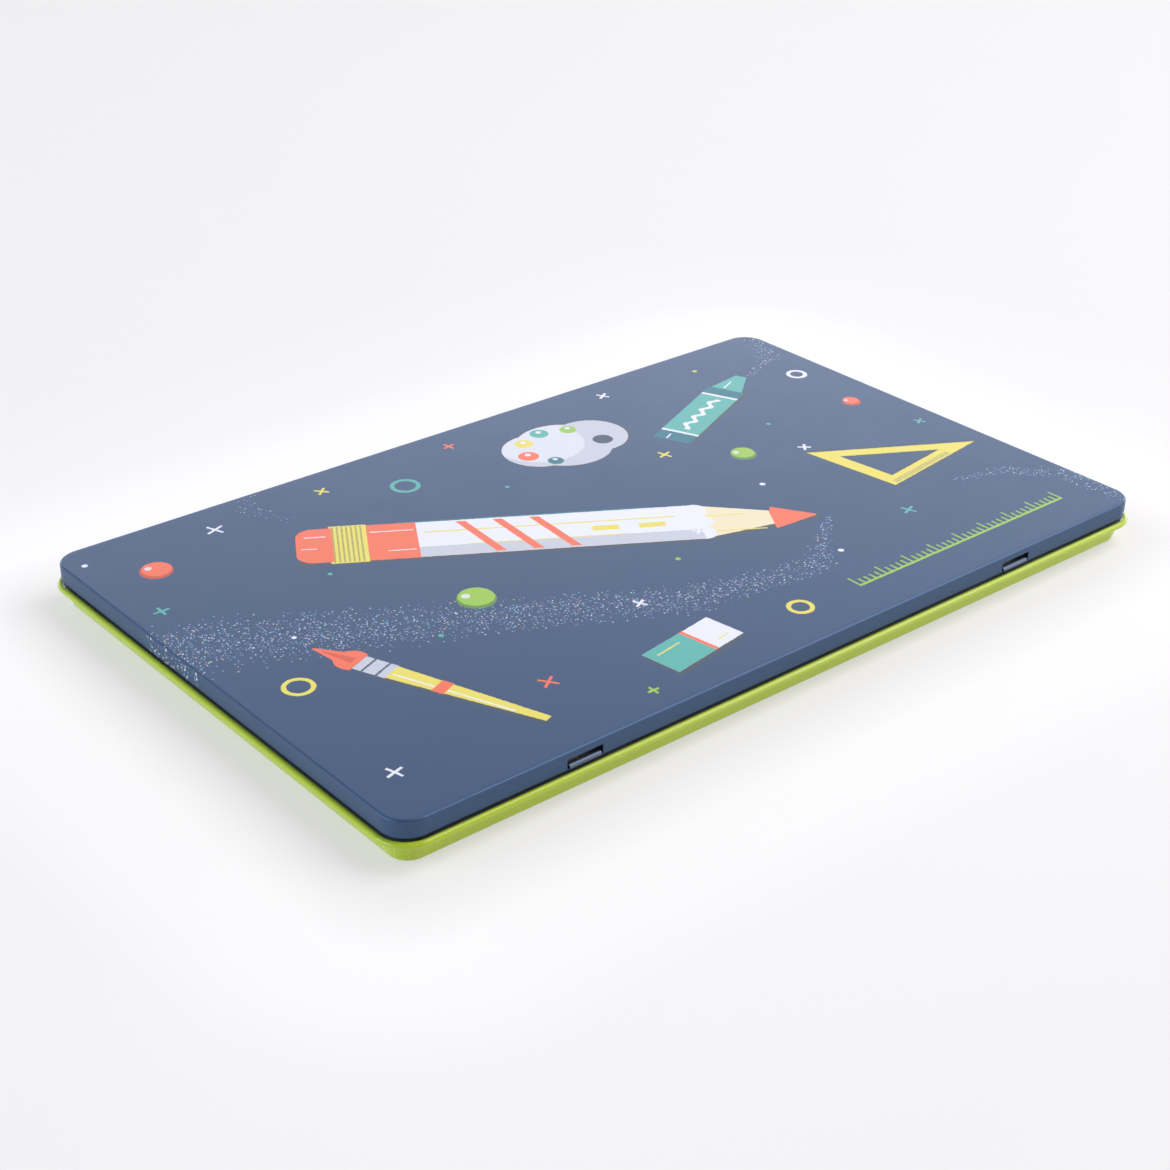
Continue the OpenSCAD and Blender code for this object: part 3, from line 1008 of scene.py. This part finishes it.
ink(large.box(10, 34, -1.6, 1.6).most(3.4 - large.disc(22, 0, 0)), "lemon")
ink(large.box(-62, -46, -12.2, 12.2), "coral")
ink(large.box(-61, -47, 6.8, 7.4).least(large.box(-56, -47, -6.6, -6.1)), "white")
ink(large.box(-74, -62, -12.8, 12.8), "lemon")
ridges = abs(large.u.folded(1.5) - 0.75) - 0.28
ink(ridges.most(large.box(-73, -63, -12.2, 12.2)), "shade", strength=0.55)
rubber = large.box(-80, -73, -11.6, 11.6).least(large.disc(-79, -6, 5.6)).least(
    large.disc(-79, 6, 5.6)).least(large.box(-84.6, -79, -6, 6))
ink(rubber, "coral")
ink(large.box(-82, -75, 5.6, 6.2).least(large.box(-83, -78, -2.3, -1.8)), "white")
print("layers so far:", picture.layers)

# %% [markdown]
# ## Smaller tools
#
# A crayon, a paint brush, a palette, a rubber and a set square fill the rest of the lid. They use
# the same helpers and the same few inks. Each has a shadow a little aside, and a few loose strokes
# that stay inside its outline.

# %% Print the crayon and the brush
crayon = Motif(88, 50, 24)
ink(crayon.box(-31, 20, -8.2, 6.4), "shade")
ink(crayon.box(-31, 19, -7, 7), "deep teal")
ink(crayon.taper(19, 6, 33, 2.2), "teal")
ink(crayon.box(-24, 13, -7, 7), "teal")
wave = abs(crayon.v + crayon.u.math("SINE", crayon.u * 0.9) * 1.1) - 1.0
ink(wave.most(crayon.box(-20, 9, -5, 5)), "white")
ink(crayon.box(-24, -22.6, -7, 7).least(crayon.box(11.6, 13, -7, 7)), "white")
ink(crayon.box(-30, -26, 2, 2.6).least(crayon.box(20, 27, 1.2, 1.7)), "white")

brush = Motif(-103, -40, 112)
ink(brush.taper(-40, 1.6, 12, 3.8, aside=-1.0), "shade")
ink(brush.taper(-40, 1.4, 12, 3.6), "lemon")
ink(brush.box(-30, 10, 0.6, 1.2), "white")
ink(brush.box(-8, -4, -3.2, 3.2), "coral")
ink(brush.box(11, 22, -3.9, 3.9), "pearl")
ink(brush.box(13.5, 14.3, -3.9, 3.9).least(brush.box(18.4, 19.2, -3.9, 3.9)), "slate")
ink(brush.taper(22, 4.8, 38, 0.3).least(brush.disc(24.5, 0, 5.4)).most(22 - brush.u), "coral")
ink(brush.taper(24, 1.5, 35, 0.2), "rust", strength=0.7)
print("layers so far:", picture.layers)

# %% Print the palette, the rubber and the set square
palette = Motif(28, 58, 14)
outline = palette.disc(0, 0, 17).least(palette.disc(12, -3, 13)).least(palette.disc(-9, 4, 13))
ink(outline - 0.9, "shade", strength=0.7)
ink(outline.most(3.6 - palette.disc(12, -8, 0)), "pearl")
ink(outline.most(palette.disc(-4, 8, 16)).most(4.2 - palette.disc(12, -8, 0)), "white",
    strength=0.6)
for u, v, radius, name in ((-15, 4, 3.6, "coral"), (-8, 11.5, 3.2, "lemon"),
                           (2, 12.5, 3.4, "teal"), (11, 6.5, 3.0, "lime"),
                           (-12, -5.5, 2.8, "deep teal")):
    ink(palette.disc(u, v, radius), name)
    ink(palette.disc(u + 0.8, v + 0.9, radius * 0.3), "white")

block = Motif(-30, -72, 9)
ink(block.box(-16, 14, -8.6, 6), "shade")
ink(block.box(-15, 15, -7, 7), "white")
ink(block.box(-15, 2, -7, 7), "teal")
ink(block.box(2, 3.4, -7, 7), "coral")
ink(block.box(-12, -2, 3.2, 3.8).least(block.box(7, 12, -4, -3.5)), "lemon")

square = Motif(112, -18, 8)
slope = (square.u * 0.61 + square.v * 0.79) - 4.5
inside = (-14.5 - square.u).most(-10.8 - square.v).most(slope + 4.6)
plate = (-20 - square.u).most(-16 - square.v).most(slope).most(0 - inside)
ink(plate - 0.9, "shade", strength=0.8)
ink(plate, "lemon")
ticks = abs(square.u.folded(1.0) - 0.5) - 0.16
ink(ticks.most(square.box(-18, 14, -15.4, -13.2)).most(slope), "slate")
print("layers so far:", picture.layers)

# %% [markdown]
# ## Drops, rings, crosses and a ruler
#
# Small marks are scattered over what is left of the ground, and neighbors seldom share a color.
# The row of ticks along the hinge side is a ruler's edge. Every fifth tick is long. Folding the
# coordinate turns one tick into a whole row, for the price of a single node.

# %% Print the small marks
for a, b, radius, name in ((-62, -10, 6.2, "lime"), (-128, 66, 5.2, "coral"),
                           (72, 14, 4.6, "lime"), (134, 22, 3.4, "coral")):
    drop = Motif(a, b)
    ink(drop.disc(-0.5, -0.8, radius), "moss" if name == "lime" else "rust")
    ink(drop.disc(0.2, 0.3, radius - 0.5), name)
    ink(drop.disc(-radius * 0.35, radius * 0.4, radius * 0.22), "white", strength=0.8)

RING_HALF, CROSS_HALF = 0.75, 0.45
for a, b, radius, name in ((-34, 66, 4.4, "teal"), (10, -76, 3.6, "lemon"),
                           (-132, -20, 4.2, "lemon"), (136, 52, 3.2, "white")):
    ink(abs(Motif(a, b).disc(0, 0, radius)) - RING_HALF, name)

CROSSES = [
    (-100, 78, 20, 3.4, "white"), (-58, 80, 40, 2.6, "lemon"), (-4, 82, 10, 2.4, "coral"),
    (66, 82, 30, 2.6, "white"), (50, 30, 15, 2.8, "lemon"), (92, 4, 50, 2.4, "white"),
    (-26, -44, 25, 2.4, "white"), (-76, -62, 35, 3.2, "coral"), (-140, 42, 0, 2.6, "teal"),
    (84, -52, 20, 2.8, "teal"), (20, -20, 40, 2.2, "white"), (-136, -72, 15, 3.0, "white"),
    (-56, -84, 0, 2.0, "lime"), (140, -6, 30, 2.2, "teal")]
for a, b, turn, arm, name in CROSSES:
    cross = Motif(a, b, turn)
    across, over = abs(cross.u), abs(cross.v)
    ink((across - arm).most(over - CROSS_HALF).least((over - arm).most(across - CROSS_HALF)), name)

DOTS = [
    (-44, 22, 0.9, "white"), (-8, 44, 0.8, "teal"), (60, -8, 1.0, "white"),
    (108, 78, 0.9, "lemon"), (-88, 30, 0.8, "teal"), (2, -30, 0.9, "lime"),
    (-118, 4, 0.8, "white"), (96, 26, 0.8, "teal"), (46, -58, 1.0, "white"),
    (-84, -22, 0.9, "teal"), (-144, 82, 1.0, "white")]
for a, b, radius, name in DOTS:
    ink(Motif(a, b).disc(0, 0, radius), name)
print("layers so far:", picture.layers)

# %% Print the ruler's ticks
RULER_LENGTH, TICK, STROKE, PAST_END = 96, 2.4, 0.34, 0.4
ruler = Motif(34, -78)


def strip(low, high):
    """A strip as long as the ruler."""
    return ruler.box(-PAST_END, RULER_LENGTH + PAST_END, low, high)


short = (ruler.u.folded(TICK / 2) - STROKE).most(strip(0, 3.4))
long = (ruler.u.folded(TICK * 5 / 2) - STROKE).most(strip(0, 5.6))
ink(short.least(long).least(strip(-0.5, 0.5)), "lime")
print("the print has", picture.layers, "layers")

# %% [markdown]
# ## Enamel over the print
#
# Enamel is not quite flat: it has a fine orange skin, and the sheet under it waves a little, which
# is what makes its reflections look like metal and not like plastic. Both are small bumps. The
# gloss also varies a touch, where hands have polished it.

# %% Finish the printed enamel
GROUND_METAL = 0.4
skin = noise(place, 0.7, detail=1.0) * 0.15 + noise(place, 26, detail=0.0) * 6.0
gloss = noise(place, 18, detail=3.0) * 0.10 + 0.35
plug_print(Base_Color=picture.color, Metallic=picture.bare * GROUND_METAL, Roughness=gloss,
           Normal=bump(skin, 0.008))
print("printed enamel:", len(place.tree.nodes), "nodes")

# %% [markdown]
# ## Lime enamel, creased at the corners
#
# The base is lime green outside. Drawing a deep corner gathers metal, and the enamel there shows
# fine pale creases that stand up the wall, but not over the bead. They are thin lines at uneven
# places, so they come from the cells of a one-dimensional pattern along the rim. The distance from
# the nearest corner, measured along the side, fades them out.

# %% Lime enamel
CREASE_PITCH, CREASE_REACH, CREASE_TOP = 4.2, 16, 6.8
place, plug = start_finish("lime_enamel", Specular_IOR_Level=0.45)
x, y, z = place.parts()
from_corner = abs(y) - abs(x) + (LENGTH - WIDTH) / 2
cells = place.node("ShaderNodeTexVoronoi", {"voronoi_dimensions": "1D"},
                   {"W": from_corner, "Scale": 1 / CREASE_PITCH, "Randomness": 0.8})
near_corner = (1.3 - abs(from_corner) / CREASE_REACH).within() * ((CREASE_TOP - z) * 3).within()
crease = ((0.03 - cells) * 60).within() * near_corner
broken = ((noise(place, 1.3) - 0.4) * 8).within()
green = noise(place, 30).between(paint(170, 189, 39), paint(175, 195, 46))
green = green.mixed(crease * broken * 0.8, paint(222, 232, 168))
skin = noise(place, 0.6, detail=1.0) * 0.15 - crease * 2.0
plug(Base_Color=green, Roughness=noise(place, 12) * 0.08 + 0.14, Normal=bump(skin, 0.006))
print("lime enamel is ready")

# %% [markdown]
# ## Bare tinplate
#
# Inside the tin the tin coating itself shows. It was rolled in one direction, so its faint lines
# run along the tin, and it has soft cloudy flecks where the tin froze. Both change the roughness
# as much as the color, and that is what the eye reads as metal. The hinge tongues get a darker,
# bluish metal, with faint streaks in its color and roughness.

# %% Tinplate inside, darker bluish metal on the tongues
place, plug = start_finish("bare_tinplate", Metallic=0.8)
rolled = noise(place, 0.5, detail=3.0, stretch=(0.02, 1, 1))
flecks = noise(place, 5, detail=1.0)
silver = flecks.between(paint(120, 123, 130), paint(148, 151, 158))
silver = silver.mixed(rolled * 0.35, paint(98, 102, 110))
plug(Base_Color=silver, Roughness=rolled * 0.12 + flecks * 0.10 + 0.27,
     Normal=bump(rolled, 0.002))

# The hinge tongues get a darker, bluish metal with faint streaks.
place, plug = start_finish("dark_bluish_tinplate", Metallic=0.8)
streaks = noise(place, 1.2, detail=3.0, stretch=(1, 0.3, 0.3))
plug(Base_Color=streaks.between(paint(76, 86, 106), paint(94, 104, 124)),
     Roughness=streaks * 0.15 + 0.38, Normal=bump(streaks, 0.004))
print("both kinds of tinplate are ready")

# %% [markdown]
# ## Plastic, cedar, lacquer and lead
#
# The tray is white plastic with a very faint grain from the mould. The pencils are cedar under a
# thick, glossy lacquer, which is so smooth that only its color and its wavy shine tell one pencil
# from another. The wood shows at the cone and at the sawn end: its grain runs along the pencil,
# and the sharpener leaves fine rings round the cone. The lacquers take their colors from the
# engineering model's record, so both models always agree.

# %% Tray plastic and cedar
place, plug = start_finish("white_plastic")
cloud = noise(place, 14)
plug(Base_Color=cloud.between(paint(229, 229, 226), paint(240, 240, 237)),
     Roughness=cloud * 0.12 + 0.3, Normal=bump(noise(place, 0.35, detail=1.0), 0.004))

place, plug = start_finish("cedar")
grain = noise(place, 0.5, detail=4.0, stretch=(1, 0.04, 1))
pores = noise(place, 0.16, detail=1.0, stretch=(1, 0.08, 1))
rings = noise(place, 0.3, detail=1.0, stretch=(0, 1, 0))
wood = grain.between(paint(184, 134, 88), paint(228, 188, 140))
wood = wood.mixed(((0.42 - pores) * 5).within() * 0.5, paint(146, 98, 62))
plug(Base_Color=wood, Roughness=grain * 0.15 + 0.5, Normal=bump(rings * 0.7 + pores * 0.3, 0.02))
print("plastic and cedar are ready")

# %% Thirty-six lacquers, and the leads
recorded = {item["slot"]: item["base_color"] for item in frame["record"]["materials"]}
lacquers = [paint(*(255 * part for part in recorded[f"pencil_{number:02d}_lacquer"][:3]))
            for number in range(1, PENCILS + 1)]


def deeper(color, share):
    """The same color, with only that share of its light."""
    return (*(part * share for part in color[:3]), 1.0)


for number, color in enumerate(lacquers, 1):
    place, plug = start_finish(f"lacquer_{number:02d}", Coat_Weight=0.5, Coat_Roughness=0.08)
    flow = noise(place, 2.5, detail=1.0, stretch=(1, 0.1, 1))
    plug(Base_Color=flow.between(deeper(color, 0.82), color), Roughness=flow * 0.1 + 0.24,
         Normal=bump(flow, 0.01))

place, plug = start_finish("colored_leads")
row = place.parts()[0] * (1 / BED_LENGTH) + 0.5
HALF = PENCILS // 2
halves = []
for side in (0, 1):
    stops = [(k / HALF, deeper(lacquers[side * HALF + k], 0.9)) for k in range(HALF)]
    halves.append((row * 2 - side).within().ramp(*stops, interpolation="CONSTANT"))
wax = halves[0].mixed(row.math("GREATER_THAN", row, 0.5), halves[1])
wax = wax.mixed(((0.4 - noise(place, 0.25)) * 4).within() * 0.3, paint(250, 248, 240))
plug(Base_Color=wax, Roughness=0.5, Normal=bump(noise(place, 0.2, detail=1.0), 0.01))
leads = frame["nodes"]["pencil_leads"]
leads.data.materials.clear()
leads.data.materials.append(named("colored_leads"))
print(len(lacquers), "lacquers and the leads are ready")

# %% [markdown]
# ## Hand over to the hinge
#
# Every finished piece stands for one piece of the engineering model. It rides on that piece's
# body, so that the lid swings on its hinge with its picture, and it takes the place of the plain
# solid. The leads stay as they are.

# %% Ride, replace and finish
pieces = [(lid_shell, "lid", "lid", "lid_paint"), (base_shell, "base", "base_tin", "base_paint"),
          (tray, "base", "pencil_tray", "tray_plastic")]
pieces += [(casing, "base", f"pencil_{number:02d}", f"pencil_{number:02d}_lacquer")
           for number, casing in enumerate(casings, 1)]
for piece, body, node, slot in pieces:
    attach(piece, body)
    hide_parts(node)

print("pieces:", len(pieces) + 1)
